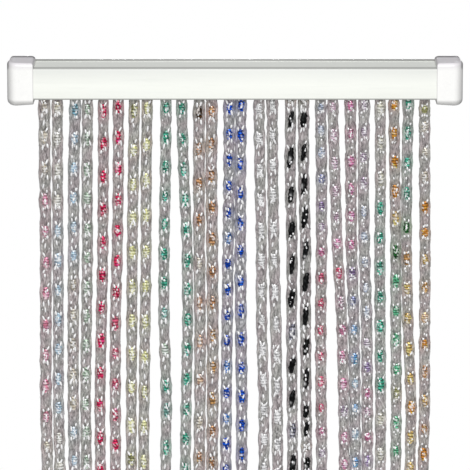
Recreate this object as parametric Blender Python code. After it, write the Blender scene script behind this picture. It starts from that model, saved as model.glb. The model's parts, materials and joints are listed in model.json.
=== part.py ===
"""Strip curtain for a doorway: cords of knitted clear film, hung in pairs from a white head rail.

Metres, +Z up. The curtain faces -Y and the wall is the plane y = 0. The origin is the centre of the
rail's back, half way up its channel. The rail is extruded, open below, with a lip along the top of its
back and a moulded cap over each end. Each pair of cords hangs from its own hanger, whose head rides on
the two ledges inside the channel.
"""

import math
import random
from typing import NamedTuple

import bmesh
import bpy
import numpy as np
from mathutils import Vector

MM = 0.001
CLEARANCE = 0.0003
SHARP_ANGLE = math.radians(40)

# Whole curtain
OVERALL_WIDTH = 0.900
OVERALL_DROP = 2.000

# Head rail
RAIL_LENGTH = 0.835
RAIL_DEPTH = 0.052
RAIL_HEIGHT = 0.064
RAIL_WALL = 0.0025
RAIL_EDGE_ROUND = 0.002
RAIL_EDGE_STEPS = 3
LIP_RISE = 0.0044
LIP_THICKNESS = 0.0025
LIP_ROUND = 0.0008
LIP_STEPS = 2
LEDGE_RISE = 0.018
LEDGE_THICKNESS = 0.0025
SLOT_WIDTH = 0.014

# End caps
CAP_WIDTH = 0.0523
CAP_PROUD = 0.002
CAP_RISE = 0.011
CAP_FALL = 0.012
CAP_FLARE = 0.0036
CAP_WALL = 0.004
CAP_FLOOR = 0.006
CAP_EDGE_STEPS = 5
CAP_CORNER_LEAST = 0.001
CUTTER_REACH = 0.005

# Hangers
HANGER_LENGTH = 0.052
HEAD_WIDTH = 0.032
HEAD_THICKNESS = 0.003
NECK_WIDTH = 0.009
BAR_WIDTH = 0.020
BAR_THICKNESS = 0.006
BAR_GAP = 0.001

# Cords: half widths at the knots and between them
KNOT_HALF_WIDTH = 0.0113
WAIST_HALF_WIDTH = 0.0100
ROOT_HALF_WIDTH = 0.0085
DEPTH_SHARE = 0.95
KNOT_UNEVENNESS = 0.0004
SEED = 13

# How the cords hang: they fan out a little with the drop, and lower down they wander together
STATION_DEPTHS = (0.030, 0.160, 0.315, 0.470, 0.640)
FORWARD_DEPTH = 0.160
FAN_PER_METRE = 0.022
WANDER = 0.002
WANDER_LENGTH = 0.70
WANDER_STEP = 0.35


class Finish(NamedTuple):
    """A smooth plastic."""

    colour: tuple
    roughness: float


RAIL_FINISH = Finish((0.86, 0.88, 0.85), 0.35)
CAP_FINISH = Finish((0.88, 0.88, 0.89), 0.30)
FILM_ROUGHNESS = 0.30

# Base colour of each pair's foil, from the left
FOIL_COLOURS = (
    (0.55, 0.25, 0.32),
    (0.45, 0.62, 0.66),
    (0.72, 0.05, 0.12),
    (0.80, 0.74, 0.25),
    (0.05, 0.42, 0.25),
    (0.65, 0.30, 0.12),
    (0.06, 0.14, 0.55),
    (0.72, 0.70, 0.68),
    (0.02, 0.02, 0.02),
    (0.70, 0.20, 0.38),
    (0.40, 0.38, 0.66),
    (0.10, 0.45, 0.20),
    (0.75, 0.42, 0.12),
)


class Cord(NamedTuple):
    """One cord, in millimetres. Each stray is how far it has moved to the right at that depth."""

    root: float
    at_160: float
    at_315: float
    at_470: float
    at_640: float
    forward: float
    first_knot: float
    knot_pitch: float


# root, strays at 160, 315, 470 and 640 below the rail, forward, first knot below the rail, knot pitch
CORDS = (
    Cord(-378, 1, 3, 3, 3, 1, 18, 65),
    Cord(-352, 0, 1, 2, 2, 0, 22, 63),
    Cord(-317, -3, -3, -4, -4, -1, 26, 62),
    Cord(-292, -1, 0, -2, -4, 1, 24, 62),
    Cord(-262, 0, -1, -4, -7, 2, 28, 69),
    Cord(-231, 0, -2, -6, -6, 0, 18, 65),
    Cord(-200, -2, -4, -5, -6, -1, 26, 72),
    Cord(-175, -2, -2, -4, -6, 1, 22, 74),
    Cord(-137, -1, -4, -4, 1, 0, 22, 63),
    Cord(-106, 4, 10, 10, 8, -2, 26, 63),
    Cord(-72, 0, 0, 2, 2, 1, 35, 80),
    Cord(-46, -1, 1, 2, 2, 0, 26, 67),
    Cord(-13, 0, -2, -4, -6, -1, 22, 54),
    Cord(12, -1, -1, 0, 2, 1, 16, 61),
    Cord(46, 2, 5, 5, 10, 0, 22, 63),
    Cord(73, 1, 3, 7, 10, -1, 16, 66),
    Cord(109, -1, 3, 2, 3, 1, 45, 73),
    Cord(134, 0, 4, 4, 5, 0, 45, 68),
    Cord(168, 2, 2, 0, 1, -1, 22, 52),
    Cord(193, 4, 9, 18, 22, 2, 20, 58),
    Cord(228, 1, 2, 7, 9, -2, 16, 58),
    Cord(254, -2, 0, 5, 6, 1, 16, 54),
    Cord(285, 1, -1, 0, 1, 0, 18, 64),
    Cord(314, 2, 4, 4, 5, -5, 14, 61),
    Cord(342, -3, -4, -1, 6, 5, 12, 64),
    Cord(373, 0, 1, 0, 0, 0, 24, 56),
)


class Corner(NamedTuple):
    """A corner of a cap's plan: its place as shares of the width and depth, and its two radii."""

    across: float
    back: float
    round_x: float
    round_y: float
    steps: int


# Anticlockwise from the front corner beside the rail. Towards the wall the cap leans in over the rail.
CAP_CORNERS = (
    Corner(0.0, 0.0, 0.003, 0.003, 3),
    Corner(1.0, 0.0, 0.020, 0.024, 6),
    Corner(0.93, 1.0, 0.005, 0.014, 4),
    Corner(-0.06, 1.0, 0.001, 0.001, 1),
)


class Sides(NamedTuple):
    """A size for each side of a cap that isn't against the wall."""

    front: float
    outer: float
    inner: float


CAP_TOP_ROUND = Sides(0.006, 0.008, 0.006)
CAP_BOTTOM_ROUND = Sides(0.012, 0.011, 0.003)

# Worked out from the sizes above
RAIL_BOTTOM = -RAIL_HEIGHT / 2
LEDGE_TOP = LEDGE_RISE + LEDGE_THICKNESS
CAP_TOP = RAIL_HEIGHT / 2 + CAP_RISE
CAP_BOTTOM = RAIL_BOTTOM - CAP_FALL
CAP_DEPTH = RAIL_DEPTH + CAP_PROUD
CAP_INNER_FACE = OVERALL_WIDTH / 2 - CAP_WIDTH
CORD_PLANE = -RAIL_DEPTH / 2
CORD_LENGTH = OVERALL_DROP + RAIL_BOTTOM - CAP_TOP
BAR_TOP = LEDGE_RISE - BAR_GAP
BAR_BOTTOM = BAR_TOP - BAR_THICKNESS


def clear_scene():
    """Takes every object out of the scene."""
    for old in list(bpy.data.objects):
        bpy.data.objects.remove(old, do_unlink=True)


def material(name, finish):
    """A Principled material."""
    made = bpy.data.materials.new(name)
    made.use_nodes = True
    shader = made.node_tree.nodes["Principled BSDF"]
    shader.inputs["Base Color"].default_value = (*finish.colour, 1.0)
    shader.inputs["Roughness"].default_value = finish.roughness
    return made


def new_object(name, mesh, location, parent=None):
    """Links a mesh, or an empty where mesh is None, to the scene."""
    made = bpy.data.objects.new(name, mesh)
    bpy.context.scene.collection.objects.link(made)
    made.location = location
    made.parent = parent
    return made


def loft(name, rings):
    """A closed mesh through rings of equal length, listed the same way round, with a face at each end."""
    shape = bmesh.new()
    rows = [[shape.verts.new(point) for point in ring] for ring in rings]
    count = len(rows[0])
    for lower, upper in zip(rows, rows[1:]):
        for i in range(count):
            j = (i + 1) % count
            shape.faces.new((lower[i], lower[j], upper[j], upper[i]))
    shape.faces.new(reversed(rows[0]))
    shape.faces.new(rows[-1])
    bmesh.ops.recalc_face_normals(shape, faces=shape.faces)
    mesh = bpy.data.meshes.new(name)
    shape.to_mesh(mesh)
    shape.free()
    mesh.shade_smooth()
    mesh.set_sharp_from_angle(angle=SHARP_ANGLE)
    return mesh


def add_boolean(target, tool, operation):
    """Joins the tool to the target or cuts it away, and keeps the tool itself out of the model."""
    tool.hide_render = True
    tool.display_type = "WIRE"
    made = target.modifiers.new(operation.title(), "BOOLEAN")
    made.operation = operation
    made.solver = "EXACT"
    made.object = tool


def quarter_turn(centre, radii, start, steps):
    """Points along a quarter of an ellipse, anticlockwise from the angle start, both ends included."""
    for step in range(steps + 1):
        angle = start + math.pi / 2 * step / steps
        yield centre[0] + radii[0] * math.cos(angle), centre[1] + radii[1] * math.sin(angle)


def rail_profile():
    """The channel's section as (y, z) points: round the outside, then back along the inside."""
    front, top, turn = -RAIL_DEPTH, RAIL_HEIGHT / 2, RAIL_EDGE_ROUND
    inner_front, inner_back = front + RAIL_WALL, -RAIL_WALL
    ledge_bottom, ledge_top = RAIL_BOTTOM + LEDGE_RISE, RAIL_BOTTOM + LEDGE_TOP
    slot_front, slot_back = CORD_PLANE - SLOT_WIDTH / 2, CORD_PLANE + SLOT_WIDTH / 2
    lip, lip_top = LIP_ROUND, top + LIP_RISE
    points = [(0.0, RAIL_BOTTOM)]
    points += quarter_turn((-lip, lip_top - lip), (lip, lip), 0.0, LIP_STEPS)
    points += quarter_turn((lip - LIP_THICKNESS, lip_top - lip), (lip, lip), math.pi / 2, LIP_STEPS)
    points += [(-LIP_THICKNESS, top)]
    points += quarter_turn((front + turn, top - turn), (turn, turn), math.pi / 2, RAIL_EDGE_STEPS)
    points += [(front, RAIL_BOTTOM), (inner_front, RAIL_BOTTOM)]
    points += [(inner_front, ledge_bottom), (slot_front, ledge_bottom)]
    points += [(slot_front, ledge_top), (inner_front, ledge_top)]
    points += [(inner_front, top - RAIL_WALL), (inner_back, top - RAIL_WALL)]
    points += [(inner_back, ledge_top), (slot_back, ledge_top)]
    points += [(slot_back, ledge_bottom), (inner_back, ledge_bottom)]
    points += [(inner_back, RAIL_BOTTOM)]
    return points


def extruded(name, profile, length):
    """A mesh of one (y, z) section drawn out along X, centred on x = 0."""
    return loft(name, [[Vector((x, y, z)) for y, z in profile] for x in (-length / 2, length / 2)])


def build_rail(parent):
    """The extruded channel that everything hangs from."""
    mesh = extruded("head_rail", rail_profile(), RAIL_LENGTH)
    mesh.materials.append(material("rail_white", RAIL_FINISH))
    return new_object("head_rail", mesh, (0.0, 0.0, 0.0), parent)


def cap_outline(inset, back=0.0):
    """The cap's plan, drawn in by inset, as (distance out from the rail, y) points."""
    width = CAP_WIDTH - inset.inner - inset.outer
    depth = CAP_DEPTH - inset.front + back
    points = []
    for turn, corner in enumerate(CAP_CORNERS):
        side_inset = inset.outer if corner.across > 0.5 else inset.inner
        front_inset = inset.front if corner.back < 0.5 else 0.0
        radius_x = max(corner.round_x - side_inset, CAP_CORNER_LEAST)
        radius_y = max(corner.round_y - front_inset, CAP_CORNER_LEAST)
        towards_rail = -radius_x if corner.across > 0.5 else radius_x
        towards_wall = -radius_y if corner.back > 0.5 else radius_y
        centre = (
            inset.inner + corner.across * width + towards_rail,
            inset.front - CAP_DEPTH + corner.back * depth + towards_wall,
        )
        start = math.pi + turn * math.pi / 2
        points += quarter_turn(centre, (radius_x, radius_y), start, corner.steps)
    return points


def rounded_inset(radius, distance):
    """How far in a rounded edge lies, at this distance from the face where it ends."""
    if distance >= radius:
        return 0.0
    return radius - math.sqrt(radius**2 - (radius - distance) ** 2)


def cap_levels():
    """(inset of each side, height, whether it slopes) of each level of the cap, from the bottom up."""
    shares = [1 - math.sin(math.pi / 2 * step / CAP_EDGE_STEPS) for step in range(CAP_EDGE_STEPS + 1)]
    for share in reversed(shares):
        rise = share * max(CAP_BOTTOM_ROUND)
        inset = Sides(*(rounded_inset(radius, rise) for radius in CAP_BOTTOM_ROUND))
        yield inset, CAP_BOTTOM + rise, True
    for share in shares:
        fall = share * max(CAP_TOP_ROUND)
        inset = Sides(*(rounded_inset(radius, fall) for radius in CAP_TOP_ROUND))
        yield inset, CAP_TOP - fall, False


def cap_ring(outline, side, height, flared=False):
    """A level of the cap: side is 1 for the right-hand cap and -1 for the left."""
    slope = CAP_FLARE / CAP_WIDTH if flared else 0.0
    return [Vector((side * out, y, height - slope * out)) for out, y in outline]


def cap_hollow(side):
    """The cutter for a cap's inside, which is open at the wall."""
    outline = cap_outline(Sides(CAP_WALL, CAP_WALL, CAP_WALL), CUTTER_REACH)
    heights = (CAP_BOTTOM + CAP_FLOOR, CAP_TOP - CAP_WALL)
    return loft("cap_hollow", [cap_ring(outline, side, z) for z in heights])


def rail_socket(side):
    """The cutter for the room in a cap that the rail's end fills."""
    near, far = -CUTTER_REACH, RAIL_LENGTH / 2 + CLEARANCE - CAP_INNER_FACE
    back, front, lip_front = CUTTER_REACH, -RAIL_DEPTH - CLEARANCE, -LIP_THICKNESS - CLEARANCE
    top = RAIL_HEIGHT / 2 + CLEARANCE
    lip_top = top + LIP_RISE
    section = [(back, -top), (back, lip_top), (lip_front, lip_top), (lip_front, top), (front, top)]
    section.append((front, -top))
    return loft("rail_socket", [[Vector((side * x, y, z)) for y, z in section] for x in (near, far)])


def build_cap(name, side, finish, parent):
    """A hollow moulded cap over one end of the rail, with its origin on the end of the rail that shows."""
    place = (side * CAP_INNER_FACE, 0.0, 0.0)
    rings = [cap_ring(cap_outline(inset), side, z, flared) for inset, z, flared in cap_levels()]
    mesh = loft(name, rings)
    mesh.materials.append(finish)
    cap = new_object(name, mesh, place, parent)
    for cutter in (cap_hollow(side), rail_socket(side)):
        add_boolean(cap, new_object(cutter.name, cutter, place, parent), "DIFFERENCE")
    return cap


def hanger_profile():
    """The hanger's section, as (y, z) from the slot's middle: a head on the ledges, a neck and a bar."""
    head_bottom = LEDGE_TOP + CLEARANCE
    widths = (BAR_WIDTH, BAR_WIDTH, NECK_WIDTH, NECK_WIDTH, HEAD_WIDTH, HEAD_WIDTH)
    heights = (BAR_BOTTOM, BAR_TOP, BAR_TOP, head_bottom, head_bottom, head_bottom + HEAD_THICKNESS)
    back = [(width / 2, z) for width, z in zip(widths, heights)]
    front = [(-width / 2, z) for width, z in zip(widths, heights)]
    return back + front[::-1]


def stray(cord, index, depth):
    """How far to the right of its root the cord is at this depth below the rail."""
    seen = np.interp(depth, STATION_DEPTHS, (0, cord.at_160, cord.at_315, cord.at_470, cord.at_640))
    fan = FAN_PER_METRE * min(max(depth, 0.0), STATION_DEPTHS[-1])
    below = max(depth - STATION_DEPTHS[-1], 0.0)
    wander = WANDER * math.sin(2 * math.pi * below / WANDER_LENGTH) * math.cos(WANDER_STEP * index)
    return MM * (float(seen) + cord.root * fan) + wander


def cord_ring(cord, index, depth, half_width):
    """A four-sided section of the cord, a corner towards the front, measured from the cord's root."""
    x = stray(cord, index, depth)
    y = -MM * cord.forward * min(max(depth / FORWARD_DEPTH, 0.0), 1.0)
    half_depth = half_width * DEPTH_SHARE
    corners = ((0, -half_depth), (half_width, 0), (0, half_depth), (-half_width, 0))
    return [Vector((x + dx, y + dy, -depth)) for dx, dy in corners]


def cord_mesh(name, cord, index, chance):
    """The cord from inside its hanger's bar down to its cut end, widest at each knot."""
    root_depth = BAR_THICKNESS / 2 - BAR_TOP
    rings = [cord_ring(cord, index, root_depth, ROOT_HALF_WIDTH)]
    knot = MM * cord.first_knot
    while knot < CORD_LENGTH:
        uneven = chance.uniform(-KNOT_UNEVENNESS, KNOT_UNEVENNESS)
        rings.append(cord_ring(cord, index, knot, KNOT_HALF_WIDTH + uneven))
        waist = knot + MM * cord.knot_pitch / 2
        if waist < CORD_LENGTH:
            rings.append(cord_ring(cord, index, waist, WAIST_HALF_WIDTH))
        knot += MM * cord.knot_pitch
    rings.append(cord_ring(cord, index, CORD_LENGTH, WAIST_HALF_WIDTH))
    return loft(name, rings[::-1])


def build_pair(number, colour, chance, parent):
    """Two cords fused to one hanger, with its origin below the hanger's middle at the rail's bottom."""
    name = f"cord_pair_{number + 1:02d}"
    indexes = (2 * number, 2 * number + 1)
    middle = MM * sum(CORDS[i].root for i in indexes) / len(indexes)
    mesh = extruded(name, hanger_profile(), HANGER_LENGTH)
    mesh.materials.append(material(f"film_{number + 1:02d}", Finish(colour, FILM_ROUGHNESS)))
    pair = new_object(name, mesh, (middle, CORD_PLANE, RAIL_BOTTOM), parent)
    for i in indexes:
        cord = cord_mesh(f"cord_{i + 1:02d}", CORDS[i], i, chance)
        root = (MM * CORDS[i].root, CORD_PLANE, RAIL_BOTTOM)
        add_boolean(pair, new_object(cord.name, cord, root, parent), "UNION")
    return pair


def build():
    """Makes the whole curtain, on an empty at the centre of the rail's back."""
    clear_scene()
    curtain = new_object("strip_curtain", None, (0.0, 0.0, 0.0))
    build_rail(curtain)
    cap_finish = material("cap_white", CAP_FINISH)
    build_cap("end_cap_left", -1, cap_finish, curtain)
    build_cap("end_cap_right", 1, cap_finish, curtain)
    chance = random.Random(SEED)
    for number, colour in enumerate(FOIL_COLOURS):
        build_pair(number, colour, chance, curtain)


build()
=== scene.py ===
"""Looks of a doorway strip curtain: cords of knitted clear film with foil wound round each knot.

Metres, +Z up, in the frame of the solids: the curtain faces -Y and the wall is the plane y = 0. The
origin is the centre of the rail's back. Each pair of cords is drawn as three pieces, which are its
film, its foil and its hanger. The rail and its end caps are the solids themselves in a finer finish.
"""

import json
import logging
import math
from dataclasses import dataclass, field, replace
from enum import Enum

import bmesh
import bpy
import numpy as np
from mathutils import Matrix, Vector

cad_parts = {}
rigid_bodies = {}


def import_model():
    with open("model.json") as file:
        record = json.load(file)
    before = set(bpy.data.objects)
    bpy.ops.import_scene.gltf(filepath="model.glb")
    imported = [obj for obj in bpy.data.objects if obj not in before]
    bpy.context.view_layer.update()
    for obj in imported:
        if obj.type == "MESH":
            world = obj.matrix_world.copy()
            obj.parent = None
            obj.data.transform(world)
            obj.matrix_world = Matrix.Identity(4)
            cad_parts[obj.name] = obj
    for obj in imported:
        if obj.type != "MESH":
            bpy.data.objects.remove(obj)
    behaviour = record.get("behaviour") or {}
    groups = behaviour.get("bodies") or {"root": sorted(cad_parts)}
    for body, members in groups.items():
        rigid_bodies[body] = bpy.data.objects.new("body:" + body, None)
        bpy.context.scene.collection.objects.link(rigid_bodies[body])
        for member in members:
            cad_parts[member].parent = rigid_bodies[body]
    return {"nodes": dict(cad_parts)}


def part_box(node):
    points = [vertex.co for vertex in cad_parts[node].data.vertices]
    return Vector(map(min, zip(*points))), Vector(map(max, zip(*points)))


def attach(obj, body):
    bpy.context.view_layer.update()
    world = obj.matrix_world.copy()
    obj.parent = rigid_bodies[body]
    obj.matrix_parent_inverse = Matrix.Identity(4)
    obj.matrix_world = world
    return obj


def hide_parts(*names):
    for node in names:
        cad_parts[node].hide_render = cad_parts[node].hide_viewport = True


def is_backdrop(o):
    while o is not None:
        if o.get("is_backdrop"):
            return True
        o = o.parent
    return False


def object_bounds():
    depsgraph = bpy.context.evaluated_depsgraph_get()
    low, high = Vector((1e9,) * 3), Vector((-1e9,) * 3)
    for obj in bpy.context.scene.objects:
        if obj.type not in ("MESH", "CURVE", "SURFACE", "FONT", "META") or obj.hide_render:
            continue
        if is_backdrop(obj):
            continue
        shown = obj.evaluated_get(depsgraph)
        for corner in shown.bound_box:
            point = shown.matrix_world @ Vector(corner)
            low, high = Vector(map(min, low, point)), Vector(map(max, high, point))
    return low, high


for startup_object in list(bpy.data.objects):
    bpy.data.objects.remove(startup_object, do_unlink=True)
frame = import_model()

MM = 0.001
BODY = "root"
logger = logging.getLogger("strip_curtain")

# A colour as displayed, and the two ends of a span
Colour = tuple[float, float, float]
Span = tuple[float, float]


def linear(colour: Colour) -> np.ndarray:
    """Gives the linear values of a colour that is named as it looks on a screen.

    Args:
        colour: red, green and blue from 0 to 1, as displayed.

    Returns:
        The three linear values.
    """
    shown = np.array(colour, float)
    return np.where(shown <= 0.04045, shown / 12.92, ((shown + 0.055) / 1.055) ** 2.4)


@dataclass(frozen=True)
class Shade:
    """A foil: its displayed colour, and how long, how slanted and how wide its windows are."""

    red: float
    green: float
    blue: float
    length: float = 1.0
    slant: float = 0.0
    width: float = 1.0

    @property
    def middle(self) -> np.ndarray:
        """The linear colour of a stroke that faces the light evenly."""
        return linear((self.red, self.green, self.blue))


class Foil(Enum):
    """The foils that the knots are wound with."""

    CREAM = Shade(0.85, 0.81, 0.74)
    PALE_YELLOW = Shade(0.89, 0.86, 0.77)
    CLEAR = Shade(0.93, 0.92, 0.87)
    SILVER = Shade(0.97, 0.97, 0.97)
    LIGHT_BLUE = Shade(0.76, 0.87, 0.96)
    PALE_BLUE = Shade(0.76, 0.80, 0.88)
    SKY = Shade(0.57, 0.73, 0.90)
    AZURE = Shade(0.21, 0.46, 0.78, length=1.15)
    BLUE = Shade(0.41, 0.62, 0.84)
    ROYAL = Shade(0.06, 0.28, 0.71, length=1.15)
    NAVY = Shade(0.43, 0.43, 0.48, length=1.1, slant=0.10)
    TEAL_BLUE = Shade(0.51, 0.70, 0.77)
    DARK_TEAL = Shade(0.51, 0.72, 0.68)
    BLUE_VIOLET = Shade(0.53, 0.55, 0.69)
    VIOLET = Shade(0.62, 0.54, 0.70)
    LILAC = Shade(0.75, 0.68, 0.76)
    MAGENTA = Shade(0.85, 0.51, 0.66)
    CRIMSON = Shade(0.91, 0.19, 0.38)
    PINK_RED = Shade(0.88, 0.39, 0.50)
    ROSE = Shade(0.97, 0.59, 0.69)
    PINK = Shade(0.88, 0.57, 0.70)
    DULL_PINK = Shade(0.73, 0.61, 0.67)
    PALE_PINK = Shade(0.84, 0.72, 0.79)
    PALE_GREEN = Shade(0.72, 0.80, 0.72)
    EMERALD = Shade(0.285, 0.655, 0.55)
    GREEN = Shade(0.36, 0.69, 0.52)
    DARK_GREEN = Shade(0.14, 0.41, 0.18)
    OLIVE = Shade(0.68, 0.68, 0.47)
    PALE_OLIVE = Shade(0.89, 0.88, 0.81)
    YELLOW = Shade(0.97, 0.97, 0.69)
    GOLD = Shade(0.87, 0.73, 0.45)
    AMBER = Shade(0.86, 0.66, 0.40)
    ORANGE = Shade(0.88, 0.59, 0.24)
    PEACH = Shade(0.97, 0.79, 0.61)
    COPPER = Shade(0.73, 0.53, 0.37)
    PALE_COPPER = Shade(0.82, 0.66, 0.56)
    BROWN_ORANGE = Shade(0.71, 0.54, 0.34)
    BROWN = Shade(0.25, 0.17, 0.07)
    DUST = Shade(0.42, 0.39, 0.34, length=0.6)
    BLACK = Shade(0.01, 0.02, 0.02, length=1.45, slant=0.11, width=0.92)


@dataclass(frozen=True)
class Run:
    """Knots that follow each other in one foil, and how far apart they are, in millimetres."""

    foil: Foil
    count: int
    pitch: float


@dataclass(frozen=True)
class Cord:
    """One cord, in millimetres. It hangs within 3 mm of its solid, to the left or the right.

    Its strays are how far to the right of its root it hangs at 160, 315, 470 and 640 below the rail.
    """

    root: float
    strays: tuple[float, float, float, float]
    forward: float
    first_knot: float
    runs: tuple[Run, ...]
    fullness: float = 1.0


# Root, strays, forward, first knot below the rail, the foils from the top, and how full the cord is
CORDS = (
    Cord(-376.8, (1, 3, 3, 3), 1, 18, (Run(Foil.CREAM, 3, 65), Run(Foil.ROSE, 8, 65)), 1.07),
    Cord(-350.9, (0, 1, 2, 2), 0, 22, (
        Run(Foil.PALE_YELLOW, 1, 64), Run(Foil.CLEAR, 3, 64), Run(Foil.LIGHT_BLUE, 7, 62.3))),
    Cord(-315.8, (-3, -3, -4, -4), -1, 26, (
        Run(Foil.TEAL_BLUE, 1, 60), Run(Foil.LIGHT_BLUE, 5, 60.5), Run(Foil.CREAM, 5, 62.5)), 1.05),
    Cord(-291.4, (-1, 0, -2, -4), 1, 24, (Run(Foil.PALE_GREEN, 11, 61.7),)),
    Cord(-260, (0, -1, -4, -7), 2, 26.5, (Run(Foil.CRIMSON, 10, 68.6),)),
    Cord(-230.5, (0, -2, -6, -6), 0, 18, (Run(Foil.CRIMSON, 7, 64.5), Run(Foil.PINK_RED, 4, 65))),
    Cord(-198.8, (-2, -4, -5, -6), -1, 28, (
        Run(Foil.OLIVE, 1, 72), Run(Foil.YELLOW, 1, 80.5), Run(Foil.YELLOW, 7, 71.3))),
    Cord(-173.5, (-2, -2, -4, -6), 1, 22, (Run(Foil.YELLOW, 9, 74.2),)),
    Cord(-136.2, (-1, -4, -4, 1), 0, 21, (
        Run(Foil.EMERALD, 7, 60.7), Run(Foil.DARK_TEAL, 1, 65), Run(Foil.PALE_GREEN, 1, 76),
        Run(Foil.EMERALD, 1, 78), Run(Foil.DARK_TEAL, 1, 51))),
    Cord(-105.1, (4, 11, 12, 9), -2, 23, (Run(Foil.EMERALD, 11, 63),)),
    Cord(-70.8, (0, 0, 2, 2), 1, 31, (
        Run(Foil.BROWN, 1, 72), Run(Foil.COPPER, 3, 74.3), Run(Foil.CREAM, 1, 90),
        Run(Foil.PALE_COPPER, 3, 82.4)), 1.08),
    Cord(-45.7, (-1, 1, 2, 2), 0, 29, (Run(Foil.COPPER, 7, 66.4), Run(Foil.BROWN_ORANGE, 3, 68.5)), 1.08),
    Cord(-11.3, (0, -2, -4, -6), -1, 22, (
        Run(Foil.ROYAL, 5, 54), Run(Foil.AZURE, 1, 54), Run(Foil.ROYAL, 4, 54),
        Run(Foil.AZURE, 1, 55), Run(Foil.ROYAL, 1, 55)), 1.04),
    Cord(11.8, (-1, -1, 0, 2), 1, 16, (Run(Foil.ROYAL, 11, 61),), 1.06),
    Cord(47.6, (2, 5, 5, 10), 0, 22, (Run(Foil.SILVER, 11, 63.2),)),
    Cord(73.8, (1, 3, 7, 10), -1, 16, (Run(Foil.SILVER, 4, 62.4), Run(Foil.SILVER, 6, 67)), 1.02),
    Cord(110.2, (-1, 3, 2, 3), 1, 7, (
        Run(Foil.DUST, 1, 38), Run(Foil.BLACK, 1, 38), Run(Foil.BLACK, 2, 78.3),
        Run(Foil.BLACK, 3, 72.5), Run(Foil.NAVY, 1, 69.7), Run(Foil.BLACK, 2, 70))),
    Cord(135.7, (0, 4, 4, 5), 0, 7, (
        Run(Foil.DUST, 1, 38), Run(Foil.BLACK, 1, 38), Run(Foil.BLACK, 9, 67.9))),
    Cord(169.5, (2, 2, 0, 1), -1, 22, (
        Run(Foil.PALE_BLUE, 3, 45.6), Run(Foil.BLUE_VIOLET, 1, 56), Run(Foil.VIOLET, 1, 56.4),
        Run(Foil.LILAC, 1, 44), Run(Foil.MAGENTA, 1, 52), Run(Foil.PINK_RED, 6, 54.6)), 1.03),
    Cord(193.6, (4, 9, 18, 22), 2, 20, (
        Run(Foil.PALE_PINK, 5, 57.2), Run(Foil.PINK, 1, 54.4), Run(Foil.PINK_RED, 1, 61),
        Run(Foil.DULL_PINK, 1, 63), Run(Foil.PINK, 3, 57), Run(Foil.LILAC, 1, 57.5))),
    Cord(228.4, (1, 2, 7, 9), -2, 16, (
        Run(Foil.MAGENTA, 6, 57.9), Run(Foil.VIOLET, 1, 61), Run(Foil.BLUE_VIOLET, 1, 59),
        Run(Foil.SKY, 1, 59), Run(Foil.BLUE, 1, 61.4), Run(Foil.LIGHT_BLUE, 1, 53),
        Run(Foil.SKY, 1, 53)), 1.05),
    Cord(255.7, (-2, 0, 5, 6), 1, 16, (
        Run(Foil.LILAC, 4, 53.3), Run(Foil.PALE_BLUE, 1, 60.5), Run(Foil.PALE_BLUE, 4, 53),
        Run(Foil.LILAC, 1, 65.5), Run(Foil.VIOLET, 1, 49), Run(Foil.MAGENTA, 1, 55),
        Run(Foil.PALE_PINK, 1, 40)), 1.04),
    Cord(287.3, (1, -1, 0, 1), 0, 21, (Run(Foil.PALE_OLIVE, 3, 73.6), Run(Foil.EMERALD, 7, 61.8))),
    Cord(314.4, (2, 4, 4, 5), -5, 14, (
        Run(Foil.ORANGE, 4, 60.3), Run(Foil.GOLD, 1, 58.5), Run(Foil.DARK_GREEN, 1, 69),
        Run(Foil.GREEN, 4, 61.8), Run(Foil.OLIVE, 1, 51))),
    Cord(342.7, (-3, -4, -1, 6), 5, 10, (
        Run(Foil.EMERALD, 4, 62.3), Run(Foil.DARK_GREEN, 1, 71), Run(Foil.BROWN_ORANGE, 1, 65),
        Run(Foil.GOLD, 4, 63.3), Run(Foil.ORANGE, 1, 61.7))),
    Cord(375.1, (0, 1, 0, 0), 0, 24, (
        Run(Foil.OLIVE, 1, 50), Run(Foil.CREAM, 1, 37.3), Run(Foil.CREAM, 2, 52),
        Run(Foil.ORANGE, 1, 62.6), Run(Foil.ORANGE, 1, 52.3), Run(Foil.GOLD, 1, 56.6),
        Run(Foil.AMBER, 1, 58.8), Run(Foil.PEACH, 1, 63.3), Run(Foil.ORANGE, 1, 54.9),
        Run(Foil.COPPER, 1, 59.4), Run(Foil.AMBER, 1, 61.6))),
)


def add_object(name: str, data: bpy.types.ID) -> bpy.types.Object:
    """Makes an object and links it to the scene.

    Args:
        name: its name.
        data: its mesh, light or camera.

    Returns:
        The object, at the origin.
    """
    made = bpy.data.objects.new(name, data)
    bpy.context.scene.collection.objects.link(made)
    return made


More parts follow.
